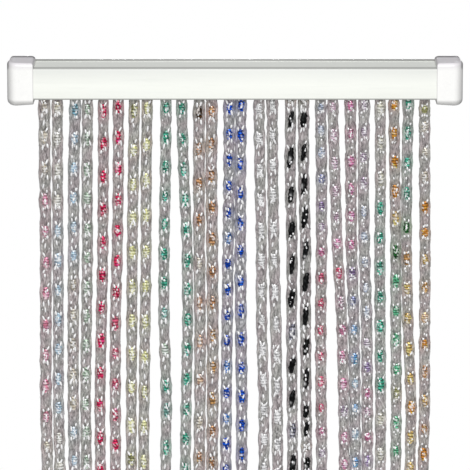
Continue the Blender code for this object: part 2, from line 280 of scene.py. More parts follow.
@dataclass
class Body:
    """Points, faces and one colour a point, gathered until they become one mesh."""

    attribute: str
    points: list[np.ndarray] = field(default_factory=list)
    colours: list[np.ndarray] = field(default_factory=list)
    quads: list[np.ndarray] = field(default_factory=list)
    triangles: list[np.ndarray] = field(default_factory=list)
    count: int = 0

    def add(
        self, points: np.ndarray, colours: np.ndarray, quads: np.ndarray, triangles: np.ndarray
    ) -> None:
        """Adds shapes that share one set of faces.

        Args:
            points: (shapes, points, 3) places.
            colours: (shapes, points, 4) colours, whose last value is the pattern's strength.
            quads: (faces, 4) point numbers within one shape.
            triangles: (faces, 3) point numbers within one shape.
        """
        shapes, each = points.shape[:2]
        starts = self.count + each * np.arange(shapes)[:, None, None]
        self.points.append(points.reshape(-1, 3))
        self.colours.append(colours.reshape(-1, 4))
        self.quads.append((quads[None] + starts).reshape(-1, 4))
        self.triangles.append((triangles[None] + starts).reshape(-1, 3))
        self.count += shapes * each

    def to_object(self, name: str) -> bpy.types.Object:
        """Makes the gathered shapes one smooth object.

        Args:
            name: the piece's name.

        Returns:
            The object, at the origin, with its places in its mesh.
        """
        quads, triangles = np.concatenate(self.quads), np.concatenate(self.triangles)
        loops = np.concatenate([quads.ravel(), triangles.ravel()]).astype(np.int32)
        sizes = np.concatenate([np.full(len(quads), 4), np.full(len(triangles), 3)])
        starts = np.concatenate([[0], np.cumsum(sizes)[:-1]]).astype(np.int32)
        mesh = bpy.data.meshes.new(name)
        mesh.vertices.add(self.count)
        mesh.vertices.foreach_set("co", np.concatenate(self.points).astype(np.float32).ravel())
        mesh.loops.add(len(loops))
        mesh.loops.foreach_set("vertex_index", loops)
        mesh.polygons.add(len(starts))
        mesh.polygons.foreach_set("loop_start", starts)
        mesh.update(calc_edges=True)
        mesh.validate()
        tint = mesh.attributes.new(self.attribute, "FLOAT_COLOR", "POINT")
        tint.data.foreach_set("color", np.concatenate(self.colours).astype(np.float32).ravel())
        mesh.shade_smooth()
        return add_object(name, mesh)


def tube_faces(rows: int, columns: int) -> tuple[np.ndarray, np.ndarray]:
    """Gives the faces of a closed tube whose rows run downwards, and whose ends close on a point each.

    Args:
        rows: rings of points.
        columns: points in a ring, anticlockwise from above.

    Returns:
        The quads of the wall and the triangles of both ends. The ends' middle points come last.
    """
    row, column = np.meshgrid(np.arange(rows - 1), np.arange(columns), indexing="ij")
    here, beside = row * columns + column, row * columns + (column + 1) % columns
    quads = np.stack([here, here + columns, beside + columns, beside], -1).reshape(-1, 4)
    around = np.arange(columns)
    after = (around + 1) % columns
    top = np.stack([np.full(columns, rows * columns), around, after], -1)
    last = (rows - 1) * columns
    bottom = np.stack([np.full(columns, rows * columns + 1), last + after, last + around], -1)
    return quads, np.concatenate([top, bottom])


def with_ends(rings: np.ndarray) -> np.ndarray:
    """Adds the middle of the first and last ring to each shape.

    Args:
        rings: (shapes, rows, columns, values).

    Returns:
        (shapes, rows * columns + 2, values).
    """
    shapes, _, _, values = rings.shape
    ends = rings[:, [0, -1]].mean(2)
    return np.concatenate([rings.reshape(shapes, -1, values), ends], 1)


def both_sides(front_angles: tuple[float, ...]) -> np.ndarray:
    """Gives angles in degrees from a cord's front, and the same ones from its back, in radians."""
    return np.radians(np.concatenate([front_angles, 180.0 + np.array(front_angles)]))


def from_nearer_side(turn: np.ndarray) -> np.ndarray:
    """Gives angles round a cord from the nearer of its front and back, in radians."""
    return (turn + math.pi / 2) % math.pi - math.pi / 2


@dataclass
class Strand:
    """The shape of one cord, worked out from its row of the table."""

    cord: Cord
    index: int
    length: float
    top: float
    plane: float
    station_depths: tuple[float, ...] = (0.030, 0.160, 0.315, 0.470, 0.640)
    forward_depth: float = 0.160
    fan_per_metre: float = 0.022
    wander: float = 0.002
    wander_length: float = 0.70
    wander_step: float = 0.35
    rise: float = 0.014
    room_from: float = 0.020
    room_span: float = 0.044
    room_limits: Span = (0.75, 1.05)
    sag: float = 0.0009
    end_clearance: float = 0.3

    def middle(self, depth: np.ndarray) -> np.ndarray:
        """Gives the cord's centre line.

        Args:
            depth: depths below the rail, in any shape.

        Returns:
            The same shape with x, y and z along a last axis.
        """
        strays = (0.0, *self.cord.strays)
        last = self.station_depths[-1]
        seen = np.interp(depth, self.station_depths, strays)
        fan = self.fan_per_metre * np.clip(depth, 0.0, last)
        below = np.maximum(depth - last, 0.0)
        wander = self.wander * np.sin(math.tau * below / self.wander_length)
        x = MM * (self.cord.root * (1 + fan) + seen) + wander * math.cos(self.wander_step * self.index)
        y = self.plane - MM * self.cord.forward * np.clip(depth / self.forward_depth, 0.0, 1.0)
        return np.stack([x, y, self.top - depth], -1)

    def knots(self) -> tuple[np.ndarray, np.ndarray, list[Shade]]:
        """Lists the knots from the top. Past the last run the foils come back in turn.

        Returns:
            Their depths, the pitch that each one takes up, and their foils.
        """
        depth = MM * self.cord.first_knot + self.sag
        depths, pitches, shades = [], [], []
        runs, step, at = self.cord.runs, 1, 0
        while True:
            run = runs[at]
            for _ in range(run.count):
                if depths:
                    depth += MM * run.pitch
                if depth > self.length - self.end_clearance * MM * run.pitch:
                    return np.array(depths), np.array(pitches), shades
                depths.append(depth)
                pitches.append(MM * run.pitch)
                shades.append(run.foil.value)
            if len(runs) > 1 and not 0 <= at + step < len(runs):
                step = -step
            at = (at + step) % len(runs)

    def reaches(self, half: float) -> np.ndarray:
        """Gives half the length of each knot's window, which is shorter where the knots lie close.

        Args:
            half: half the length of a usual window.

        Returns:
            A length for each knot.
        """
        _, pitches, shades = self.knots()
        low, high = self.room_limits
        spacing = 0.5 * (pitches + np.append(pitches[1:], pitches[-1]))
        room = np.clip((spacing - self.room_from) / self.room_span, low, high)
        return half * room * np.array([shade.length for shade in shades])


@dataclass(frozen=True)
class LoopKind:
    """One kind of taut loop: how often it comes, and the spans that its place and size are drawn from.

    Turns are degrees round the cord, leans are degrees that its top leans, and widths and lengths are
    half sizes in metres. Offsets are down the cord, in the unit that each loop is added with.
    """

    share: float
    offsets: Span
    turns: Span
    leans: Span
    widths: Span
    lengths: Span
    sink: float = 0.0


@dataclass(frozen=True)
class FilmSizes:
    """How the clear film of a cord is shaped. Lengths are metres, angles degrees from the front."""

    knot_half_width: float = 0.0117
    skirt_half_width: float = 0.0112
    middle_half_width: float = 0.0106
    waist_half_width: float = 0.0100
    depth_share: float = 0.90
    front_angles: tuple[float, ...] = (-64.0, -44.0, -28.0, -10.0, 10.0, 28.0, 44.0, 64.0, 90.0)
    row_reaches: tuple[float, ...] = (-1.0, -0.5, 0.0, 0.5, 1.0)
    row_margins: tuple[float, ...] = (0.0035, 0.0075)
    middle_step: float = 0.0075
    end_rows: tuple[float, ...] = (0.0120, 0.0060, 0.0025, 0.0)
    end_gap: float = 0.0020
    end_fullness: float = 0.15
    waist_margin: float = 0.0085
    skirt_margin: float = 0.0040
    pleat: float = 0.0005
    pleat_comb: float = 0.6
    pleat_wave: float = 0.8
    pleat_wave_lengths: Span = (0.020, 0.050)
    pleat_lost: float = 0.6
    ragged: float = 0.00025
    window_half: float = 0.0150
    window_depth: float = 0.0030
    window_open: float = 35.0
    window_shut: float = 52.0
    window_fade: float = 1.35
    window_end: float = 0.86
    pocket_gap: float = 0.0050
    pocket_reach: float = 0.0026
    pocket_angle: float = 15.0
    loop_lift: float = 0.0016
    loop_clearance: float = 0.008
    above: LoopKind = LoopKind(
        0.82, (-0.0030, 0.0060), (17, 30), (0, 34), (0.0022, 0.0031), (0.0036, 0.0060)
    )
    below: LoopKind = LoopKind(
        0.82, (-0.0030, 0.0070), (17, 30), (0, 26), (0.0022, 0.0031), (0.0038, 0.0074)
    )
    across: LoopKind = LoopKind(
        0.80, (-0.6, 0.7), (-6, 18), (-20, 20), (0.0014, 0.0023), (0.0018, 0.0042), sink=0.0006
    )
    between: LoopKind = LoopKind(
        0.85, (0.40, 0.60), (-26, 10), (-14, 14), (0.0017, 0.0026), (0.0034, 0.0068)
    )
    small: LoopKind = LoopKind(0.7, (0.3, 0.7), (0, 360), (-30, 30), (0.0012, 0.0018), (0.0014, 0.0028))


# The cords from this one on are knitted looser, and their taut loops are rounder
ROUND_LOOPED_FROM = 18
USUAL = FilmSizes()
ROUND_LOOPED = replace(
    USUAL,
    above=replace(USUAL.above, widths=(0.0023, 0.0030), lengths=(0.0026, 0.0036)),
    below=replace(USUAL.below, widths=(0.0023, 0.0030), lengths=(0.0026, 0.0040)),
    between=replace(USUAL.between, widths=(0.0018, 0.0026), lengths=(0.0020, 0.0030)),
)


@dataclass(frozen=True)
class FilmTones:
    """How the clear film of a cord is coloured: its greys, and how much each effect adds or takes."""

    grey: Colour = (0.632, 0.614, 0.608)
    # The white of the taut loops, a painted highlight
    glint: Colour = (1.0, 1.0, 1.0)
    glint_span: Span = (0.88, 1.0)
    glint_crinkle: float = 0.05
    # Painted light and shade along the pleats: lighter ridges, darker folds
    wave: float = 0.08
    comb: float = 0.05
    unevenness: float = 0.08
    blush: float = 0.31
    blush_reach: float = 1.35
    blush_lost: float = 0.3
    least_foil: float = 0.15
    hue_lengths: Span = (0.012, 0.020)
    hue_swing: Colour = (0.030, -0.025, 0.008)
    # Painted shade in small pockets between the loops
    pocket_span: Span = (-0.1, 0.5)
    # Painted light and shade: the film's front is darker and its sides lighter
    front: float = 0.84
    painted_side_gain: float = 0.47
    # Painted shade in the groove where the film opens over a knot
    painted_window_shade: float = 0.35


@dataclass
class Film:
    """The film of one cord: a pleated tube that opens over each knot, and its taut loops, painted as
    glints.
    """

    strand: Strand
    sizes: FilmSizes
    chance: np.random.Generator
    tones: FilmTones = FilmTones()

    def reaches(self) -> np.ndarray:
        """Gives half the length of each knot's window."""
        return self.strand.reaches(self.sizes.window_half)

    def rows(self) -> np.ndarray:
        """Spaces the rings closely at each knot, and evenly between knots.

        Returns:
            Depth of each ring.
        """
        s = self.sizes
        knots, _, _ = self.strand.knots()
        depth = [-self.strand.rise]
        for knot, reach in zip(knots, self.reaches()):
            near = [knot - reach - margin for margin in s.row_margins[::-1]]
            near += [knot + part * reach for part in s.row_reaches]
            near += [knot + reach + margin for margin in s.row_margins]
            steps = int((near[0] - depth[-1]) / s.middle_step)
            if steps > 1:
                depth += list(np.linspace(depth[-1], near[0], steps + 1)[1:-1])
            depth += near
        closing = self.strand.length - np.array(s.end_rows)
        depth = np.array(depth)
        depth = np.sort(depth[(depth >= -self.strand.rise) & (depth < closing[0] - s.end_gap)])
        return np.append(depth, closing)

    def half_widths(self, depth: np.ndarray) -> np.ndarray:
        """Gives the cord's half width: widest at a knot, narrowest just above the next one.

        Args:
            depth: depths below the rail.

        Returns:
            A half width for each depth.
        """
        s = self.sizes
        knots, _, _ = self.strand.knots()
        places, halves = [], []
        for number, (knot, reach) in enumerate(zip(knots, self.reaches())):
            start = knot - reach - s.waist_margin
            if not places or start > places[-1] + MM:
                places.append(start)
                halves.append(s.waist_half_width)
            places += [knot, knot + reach + s.skirt_margin]
            halves += [s.knot_half_width, s.skirt_half_width]
            if number + 1 < len(knots):
                places.append(0.5 * (knot + knots[number + 1]))
                halves.append(s.middle_half_width)
        order = np.argsort(places)
        half = np.interp(depth, np.array(places)[order], np.array(halves)[order])
        return self.strand.cord.fullness * half

    def nearness(self, depth: np.ndarray) -> np.ndarray:
        """Says how far open the film is over its knots at each depth.

        Args:
            depth: depths below the rail.

        Returns:
            1 at a knot, falling to 0 past its window.
        """
        knots, _, _ = self.strand.knots()
        ratio = np.abs(depth[:, None] - knots[None, :]) / self.reaches()[None, :]
        return np.clip(self.sizes.window_fade - ratio**2, 0.0, 1.0).max(1)

    def add_tube(self, body: Body) -> None:
        """Adds the pleated tube.

        Args:
            body: where it goes.
        """
        s, tones, chance = self.sizes, self.tones, self.chance
        depth = self.rows()
        turn = both_sides(s.front_angles)
        columns = len(turn)
        half = self.half_widths(depth) + chance.normal(0.0, s.ragged, len(depth))
        aside = np.degrees(np.abs(from_nearer_side(turn)))
        open_share = np.clip((s.window_shut - aside) / (s.window_shut - s.window_open), 0.0, 1.0)
        gap = self.nearness(depth)[:, None] * (open_share * open_share * (3 - 2 * open_share))[None, :]
        period = chance.uniform(*s.pleat_wave_lengths, columns)
        phase = chance.uniform(0.0, math.tau, columns)
        wave = np.sin(math.tau * depth[:, None] / period + phase)
        comb = np.where(np.arange(columns) % 2, 1.0, -1.0)
        pleat = s.pleat * (s.pleat_comb * comb + s.pleat_wave * wave) * (1 - s.pleat_lost * gap)
        pleat += chance.normal(0.0, s.ragged, pleat.shape)
        radius = half[:, None] + pleat - s.window_depth * gap
        to_end = (self.strand.length - depth) / s.end_rows[1]
        radius *= np.sqrt(np.clip(to_end, s.end_fullness, 1.0))[:, None]
        centre = self.strand.middle(depth)[:, None, :]
        flat = np.array([1.0, s.depth_share, 0.0])
        turned = np.stack([np.sin(turn), -np.cos(turn), np.zeros(columns)], -1)
        points = centre + radius[..., None] * turned[None] * flat
        # Painted light and shade: the pleats' outward ridges are lighter and their folds darker
        tone = 1 + tones.wave * wave + tones.comb * comb + chance.normal(0.0, tones.unevenness, wave.shape)
        colours = self.tints(depth, turn, gap) * tone[..., None]
        colours = np.concatenate([colours, np.ones((len(depth), columns, 1))], -1)
        quads, triangles = tube_faces(len(depth), columns)
        body.add(with_ends(points[None]), with_ends(colours[None]), quads, triangles)

    def tints(self, depth: np.ndarray, turn: np.ndarray, gap: np.ndarray) -> np.ndarray:
        """Colours the film: warm grey, faintly rosy or green in places, and tinted near a knot.

        Args:
            depth: depth of each ring.
            turn: angle of each point in a ring.
            gap: how far open each point's window is.

        Returns:
            (rings, columns, 3) linear colours.
        """
        s, tones, chance = self.sizes, self.tones, self.chance
        knots, _, shades = self.strand.knots()
        owner = np.abs(depth[:, None] - knots[None, :]).argmin(1)
        away, reach = np.abs(depth - knots[owner]), self.reaches()[owner]
        foil = np.array([shade.middle for shade in shades])[owner]
        cast = foil / np.maximum(foil.max(-1, keepdims=True), tones.least_foil)
        blush = tones.blush * np.exp(-((away / reach / tones.blush_reach) ** 2))
        blush = blush[:, None] * (1 - tones.blush_lost * gap)
        along = depth[:, None] / chance.uniform(*tones.hue_lengths)
        hue = np.sin(along + turn + chance.uniform(0.0, math.tau))
        tint = linear(tones.grey) * (1 + np.array(tones.hue_swing) * hue[..., None])
        tint = tint * (1 - blush[..., None] * (1 - cast[:, None, :]))
        aside = np.abs(from_nearer_side(turn))
        # Painted shade: small dark pockets between the loops just past each window
        beyond = (away - s.window_end * reach - s.pocket_gap) / s.pocket_reach
        pocket_shade = np.exp(-(beyond**2))[:, None] * (aside < math.radians(s.pocket_angle))[None, :]
        pocket_shade = pocket_shade * chance.uniform(*tones.pocket_span, pocket_shade.shape).clip(0.0)
        # Painted light and shade: the film is darker at its front and lighter towards its sides
        painted_side_light = tones.front + tones.painted_side_gain * np.sin(aside) ** 2
        # Painted shade: the film is darker where it opens over a knot
        return tint * (painted_side_light * (1 - tones.painted_window_shade * gap) * (1 - pocket_shade))[..., None]

    def add_loops(self, body: Body) -> None:
        """Adds the taut loops: a V above each knot, one turned over below it, and some between knots.

        Args:
            body: where they go.
        """
        s, tones, chance = self.sizes, self.tones, self.chance
        knots, pitches, _ = self.strand.knots()
        made = LoopList(chance)
        for knot, pitch, reach in zip(knots, pitches, self.reaches()):
            for facing in (0.0, 180.0):
                for side in (-1, 1):
                    lift = s.loop_lift * side
                    made.add(s.above, knot - s.window_end * reach, -1.0, facing, side, side, lift)
                    made.add(s.below, knot + s.window_end * reach, 1.0, facing, side, -side, lift)
                    made.add(s.across, knot, reach, facing, side)
                made.add(s.between, knot, pitch, facing)
            made.add(s.small, knot, pitch)
        loops = made.to_loops(self.strand.length - s.loop_clearance)
        seats = self.half_widths(loops.depths) + loops.seat - loops.sinks
        points = loops.points(self.strand.middle(loops.depths), seats, s.depth_share)
        # The loops are painted white as glints, a painted highlight
        light = linear(tones.glint) * chance.uniform(*tones.glint_span, (len(points), 1, 1))
        light = light * loops.shine()[:, None]
        crinkle = np.full((*light.shape[:2], 1), tones.glint_crinkle)
        body.add(points, np.concatenate([light, crinkle], -1), *loops.faces())


@dataclass
class LoopList:
    """Taut loops while they are being placed, one row each."""

    chance: np.random.Generator
    rows: list[tuple[float, ...]] = field(default_factory=list)

    def add(
        self,
        kind: LoopKind,
        start: float,
        unit: float,
        facing: float = 0.0,
        side: int = 1,
        lean_side: int = 1,
        lift: float = 0.0,
    ) -> None:
        """Draws one loop, unless chance leaves it out.

        Args:
            kind: its kind.
            start: the depth that its offset counts from.
            unit: metres for one unit of its offset, below zero where that runs upwards.
            facing: degrees round the cord of the side that it lies on.
            side: -1 where its turn goes to the left.
            lean_side: -1 where it leans to the left.
            lift: how much higher it lies.
        """
        chance = self.chance
        if chance.random() < kind.share:
            depth = start + unit * chance.uniform(*kind.offsets) - lift
            turn = facing + side * chance.uniform(*kind.turns)
            lean = lean_side * chance.uniform(*kind.leans)
            self.rows.append((depth, turn, lean, *kind.widths, *kind.lengths, kind.sink))

    def to_loops(self, end: float) -> "Loops":
        """Gives the loops above a depth, each with a size drawn between its limits.

        Args:
            end: the depth that they stay above.

        Returns:
            The loops.
        """
        table = np.array(self.rows)
        table = table[table[:, 0] < end]
        share = self.chance.random((2, len(table)))
        widths = table[:, 3] + share[0] * (table[:, 4] - table[:, 3])
        lengths = table[:, 5] + share[1] * (table[:, 6] - table[:, 5])
        turns, leans = np.radians(table[:, 1]), np.radians(table[:, 2])
        return Loops(table[:, 0], leans, turns, widths, lengths, table[:, 7])


@dataclass
class Loops:
    """Taut loops of film as small pods that lie on a cord: an array of each of their sizes."""

    depths: np.ndarray
    leans: np.ndarray
    turns: np.ndarray
    widths: np.ndarray
    lengths: np.ndarray
    sinks: np.ndarray
    columns: int = 5
    latitudes: tuple[float, ...] = (48.0, 0.0, -48.0)
    thickness_share: float = 0.45
    seat: float = 0.0002
    # Painted highlight: brightest on the pod's outer ridge, greyer at its sides and tips
    row_shine: tuple[float, ...] = (0.92, 1.0, 0.92)
    column_shine: tuple[float, ...] = (1.0, 0.90, 0.60, 0.60, 0.90)
    tip_shine: float = 0.68

    def faces(self) -> tuple[np.ndarray, np.ndarray]:
        """Gives the faces of one pod."""
        return tube_faces(len(self.latitudes), self.columns)

    def shine(self) -> np.ndarray:
        """Gives each point of a pod its painted highlight: its outer ridge is the brightest."""
        wall = np.outer(self.row_shine, self.column_shine).ravel()
        return np.append(wall, [self.tip_shine, self.tip_shine])

    def points(self, middles: np.ndarray, seats: np.ndarray, depth_share: float) -> np.ndarray:
        """Places the pods.

        Args:
            middles: (pods, 3) points of the cord's centre line that they lie beside.
            seats: how far out from it each one lies.
            depth_share: how deep the cord is for its width.

        Returns:
            (pods, points, 3) places.
        """
        around = np.arange(self.columns) / self.columns * math.tau
        unit = []
        for latitude in np.radians(self.latitudes):
            ring = np.stack([np.sin(around), -np.cos(around), np.zeros(self.columns)], -1)
            unit.append(ring * math.cos(latitude) + np.array([0.0, 0.0, math.sin(latitude)]))
        unit = np.concatenate([*unit, [[0.0, 0.0, 1.0]], [[0.0, 0.0, -1.0]]])
        out = np.stack([np.sin(self.turns), -np.cos(self.turns), np.zeros(len(self.turns))], -1)
        along = np.stack([np.cos(self.turns), np.sin(self.turns), np.zeros(len(self.turns))], -1)
        up = np.array([0.0, 0.0, 1.0])
        lean = self.leans[:, None]
        length_way = up[None] * np.cos(lean) + along * np.sin(lean)
        width_way = along * np.cos(lean) - up[None] * np.sin(lean)
        centre = middles + out * seats[:, None] * np.array([1.0, depth_share, 1.0])
        thick = self.widths * self.thickness_share
        return (
            centre[:, None, :]
            + unit[None, :, 0, None] * (self.widths[:, None] * width_way)[:, None, :]
            - unit[None, :, 1, None] * (thick[:, None] * out)[:, None, :]
            + unit[None, :, 2, None] * (self.lengths[:, None] * length_way)[:, None, :]
        )


@dataclass(frozen=True)
class FoilTones:
    """How foil is coloured: painted light on ridges and shade in hollows, pale spots, a spark on some
    knots.

    The limit of a stroke and the colour of a spot are shares of the foil's own hue and of white. Lights
    are mean linear values of a foil. A spark's height and reach are in halves of the window's length,
    and its place and angle are radians.
    """

    # Painted light on the ridges and painted shade in the hollows
    ridge: Span = (0.80, 1.55)
    hollow: Span = (0.0, 0.27)
    hollow_glow: float = 0.26
    lower_gain: float = 0.20
    unevenness: float = 0.45
    # The pale spots and the spark are painted highlights on the foil
    ridge_spots: float = 0.24
    hollow_spots: float = 0.06
    spot_strengths: Span = (0.6, 1.0)
    limit: tuple[float, float] = (0.25, 0.75)
    spot: tuple[float, float] = (0.14, 0.88)
    crinkle: float = 0.5
    dark_light: float = 0.02
    pale_light: float = 0.45
    dark_spots: float = 0.03
    dark_sparks: float = 0.3
    middle_sparks: float = 0.4
    pale_sparks: float = 0.7
    spark: float = 0.95
    spark_heights: Span = (-0.2, 0.65)
    spark_places: Span = (-0.55, 0.35)
    spark_reaches: Span = (0.14, 0.30)
    spark_angle: float = 0.25
    long_window: float = 1.3
    long_shrink: float = 1.6


@dataclass
class FoilWinding:
    """The foil wound round the knots of one cord: a ridged spool in each knot's window."""

    strand: Strand
    sizes: FilmSizes
    chance: np.random.Generator
    tones: FoilTones = FoilTones()
    half_width: float = 0.0078
    half_depth: float = 0.0102
    least_half_width: float = 0.0008
    squareness: float = 2.4
    turns: int = 5
    front_angles: tuple[float, ...] = (-66.0, -42.0, -24.0, -8.0, 8.0, 24.0, 42.0, 66.0)
    ridge: float = 0.0008
    ridge_span: Span = (0.4, 1.4)
    side_ridge: float = 0.45
    width_span: Span = (0.86, 1.12)
    length_span: Span = (0.80, 1.14)
    oval_reach: float = 0.94
    end_width: float = 0.20
    middle_width: float = 0.80
    end_depth: float = 0.70
    middle_depth: float = 0.30
    tilt: float = 0.0009
    sway: float = 0.0005
    drift: float = 0.0008

    def add(self, body: Body) -> None:
        """Adds a spool for each knot.

        Args:
            body: where they go.
        """
        chance = self.chance
        knots, _, shades = self.strand.knots()
        count, rows = len(knots), 2 * self.turns + 1
        u = np.linspace(-1.0, 1.0, rows)
        reach = self.strand.reaches(self.sizes.window_half)[:, None]
        slant = np.array([shade.slant for shade in shades])[:, None]
        share = np.array([shade.width for shade in shades])[:, None]
        turn = both_sides(self.front_angles)
        sine, cosine = np.sin(turn), -np.cos(turn)
        power = 2 / self.squareness
        ring_x = np.sign(sine) * np.abs(sine) ** power
        ring_y = np.sign(cosine) * np.abs(cosine) ** power
        oval = np.sqrt(np.clip(1 - (self.oval_reach * u) ** 2, 0.0, 1.0))
        wide = self.half_width * share * chance.uniform(*self.width_span, (count, 1))
        wide = wide * (self.end_width + self.middle_width * oval)
        ridged = np.where(np.arange(rows) % 2 == 1, self.ridge, -self.ridge)[None, :]
        swell = ridged * chance.uniform(*self.ridge_span, (count, rows))
        half_x = np.maximum(wide + self.side_ridge * swell, self.least_half_width)
        half_y = self.half_depth * (self.end_depth + self.middle_depth * oval)[None, :] + swell
        stretch = chance.uniform(*self.length_span, (count, 1))
        middles = (knots + chance.normal(0.0, self.drift, count))[:, None]
        centre = self.strand.middle(middles + reach * stretch * u[None, :])[:, :, None, :]
        tilt = self.tilt * chance.normal(0.0, 1.0, (count, rows))
        shift = self.sway * chance.normal(0.0, 1.0, (count, rows)) - slant * reach * u[None, :]
        x = half_x[..., None] * ring_x + shift[..., None]
        y = half_y[..., None] * ring_y
        z = tilt[..., None] * ring_x[None, None, :]
        points = centre + np.stack([x, y, z], -1)
        colours = self.strokes(shades, u, turn)
        body.add(with_ends(points), with_ends(colours), *tube_faces(rows, len(turn)))

    def strokes(self, shades: list[Shade], u: np.ndarray, turn: np.ndarray) -> np.ndarray:
        """Colours each spool's turns: painted shade in hollows, broken mid strokes, painted highlight
        spots.

        Args:
            shades: the foil of each spool.
            u: each ring's place from the top at -1 to the bottom at 1.
            turn: the angle of each column.

        Returns:
            (spools, rings, columns, 4) colours.
        """
        tones, chance = self.tones, self.chance
        shape = (len(shades), len(u), len(turn))
        middle = np.array([shade.middle for shade in shades])[:, None, None, :]
        dark = middle.max(-1) < tones.dark_light
        ridged = np.broadcast_to((np.arange(shape[1]) % 2 == 1)[None, :, None], shape)
        # Painted light and shade: ridge rings lighter, hollow rings darker
        high = chance.uniform(*tones.ridge, (*shape[:2], 1))
        low = chance.uniform(*tones.hollow, (*shape[:2], 1)) + tones.hollow_glow * middle.mean(-1)
        tone = np.where(ridged, high, low) * (1 + tones.lower_gain * u)[None, :, None]
        tone = tone * np.exp(chance.normal(0.0, tones.unevenness, shape))
        # Painted highlights: pale spots, most of them on the ridges, and a bright spark
        spotted = chance.random(shape) < np.where(ridged, tones.ridge_spots, tones.hollow_spots)
        spots = np.where(spotted, chance.uniform(*tones.spot_strengths, shape), 0.0)
        spots = (spots * np.where(dark, tones.dark_spots, 1.0))[..., None]
        hue = middle / middle.max(-1, keepdims=True)
        lit = np.minimum(middle * tone[..., None], tones.limit[0] * hue + tones.limit[1])
        colour = lit * (1 - spots) + (tones.spot[0] * hue + tones.spot[1]) * spots
        shine = self.sparks(shades, u, from_nearer_side(turn))[..., None]
        colour = colour * (1 - shine) + tones.spark * shine
        return np.concatenate([colour, np.full((*shape, 1), tones.crinkle)], -1)

    def sparks(self, shades: list[Shade], u: np.ndarray, facing: np.ndarray) -> np.ndarray:
        """Paints a highlight on most pale spools and some of the others, mostly low on the window.

        Args:
            shades: the foil of each spool.
            u: each ring's place.
            facing: each column's angle from the nearer of front and back.

        Returns:
            (spools, rings, columns) strengths.
        """
        tones, chance = self.tones, self.chance
        single = (len(shades), 1, 1)
        light = np.array([shade.middle.mean() for shade in shades])
        share = np.where(light > tones.dark_light, tones.middle_sparks, tones.dark_sparks)
        share = np.where(light > tones.pale_light, tones.pale_sparks, share)
        strength = np.where(chance.random(len(shades)) < share, 1.0, 0.0)[:, None, None]
        lengths = np.array([shade.length for shade in shades])[:, None, None]
        height = chance.uniform(*tones.spark_heights, single)
        height = height * np.where(lengths > tones.long_window, tones.long_window, 1.0)
        place = chance.uniform(*tones.spark_places, single)
        reach = chance.uniform(*tones.spark_reaches, single) / lengths**tones.long_shrink
        down = (u[None, :, None] - height) / reach
        across = (facing[None, None, :] - place) / tones.spark_angle
        return strength * np.exp(-(down**2) - across**2)


class NodeTree:
    """A short way to write shader nodes into a material's or a group's tree."""

    def __init__(self, tree: bpy.types.NodeTree) -> None:
        """Takes the tree that nodes go into."""
        self.tree = tree

    def feed(self, node: bpy.types.Node, inputs: dict) -> None:
        """Gives a node its inputs.

        Args:
            node: the node.
            inputs: a value or an output for each input, by its name or number.
        """
        for name, value in inputs.items():
            if isinstance(value, bpy.types.NodeSocket):
                self.tree.links.new(value, node.inputs[name])
            else:
                node.inputs[name].default_value = value

    def node(self, kind: str, inputs: dict | None = None, **settings: object) -> bpy.types.Node:
        """Adds a node.

        Args:
            kind: its type, without the ShaderNode prefix.
            inputs: a value or an output for each input, by its name or number.
            settings: properties of the node.

        Returns:
            The node.
        """
        made = self.tree.nodes.new("ShaderNode" + kind)
        for name, value in settings.items():
            setattr(made, name, value)
        self.feed(made, inputs or {})
        return made

    def maths(self, operation: str, *values: object) -> bpy.types.NodeSocket:
        """Adds a Math node and gives its output."""
        return self.node("Math", dict(enumerate(values)), operation=operation).outputs[0]

    def mixed(self, share: object, first: object, second: object) -> bpy.types.NodeSocket:
        """Adds a colour Mix node and gives its output."""
        return self.node("Mix", {0: share, 6: first, 7: second}, data_type="RGBA").outputs[2]

    def spread(self, value: object, *spans: float) -> bpy.types.NodeSocket:
        """Adds a Map Range node from the first two of four numbers to the others, and gives its output."""
        return self.node("MapRange", dict(enumerate((value, *spans)))).outputs[0]

    def scaled(self, colour: object, factor: object) -> bpy.types.NodeSocket:
        """Multiplies a colour and gives the result."""
        return self.node("VectorMath", {0: colour, 3: factor}, operation="SCALE").outputs[0]

    def noise(self, place: object, **inputs: object) -> bpy.types.NodeSocket:
        """Adds a Noise node and gives its value."""
        return self.node("TexNoise", {"Vector": place, **inputs}).outputs[0]

    def bump(self, strength: float, distance: float, height: object) -> bpy.types.NodeSocket:
        """Adds a Bump node and gives its normal."""
        return self.node("Bump", {"Strength": strength, "Distance": distance, "Height": height}).outputs[0]

    def stretched(self, *scales: object) -> bpy.types.NodeSocket:
        """Places a pattern on the piece.

        Args:
            scales: what each axis is multiplied by.

        Returns:
            The place in metres times the scales.
        """
        place = self.node("TexCoord").outputs["Object"]
        scale = self.node("CombineXYZ", dict(enumerate(scales))).outputs[0]
        return self.node("VectorMath", {0: place, 1: scale}, operation="MULTIPLY").outputs[0]


def new_group(
    name: str, inputs: dict[str, float], outputs: tuple[str, ...]
) -> tuple[NodeTree, dict[str, bpy.types.NodeSocket], bpy.types.Node]:
    """Starts a node group with named sockets.

    Args:
        name: the group's name.
        inputs: default value of each input.
        outputs: name of each output.

    Returns:
        Its tree, its inputs by name, and its output node.
    """
    group = bpy.data.node_groups.new(name, "ShaderNodeTree")
    for label, value in inputs.items():
        socket = group.interface.new_socket(name=label, in_out="INPUT", socket_type="NodeSocketFloat")
        socket.default_value = value
    for label in outputs:
        group.interface.new_socket(name=label, in_out="OUTPUT", socket_type="NodeSocketFloat")
    start, end = group.nodes.new("NodeGroupInput"), group.nodes.new("NodeGroupOutput")
    return NodeTree(group), {label: start.outputs[label] for label in inputs}, end


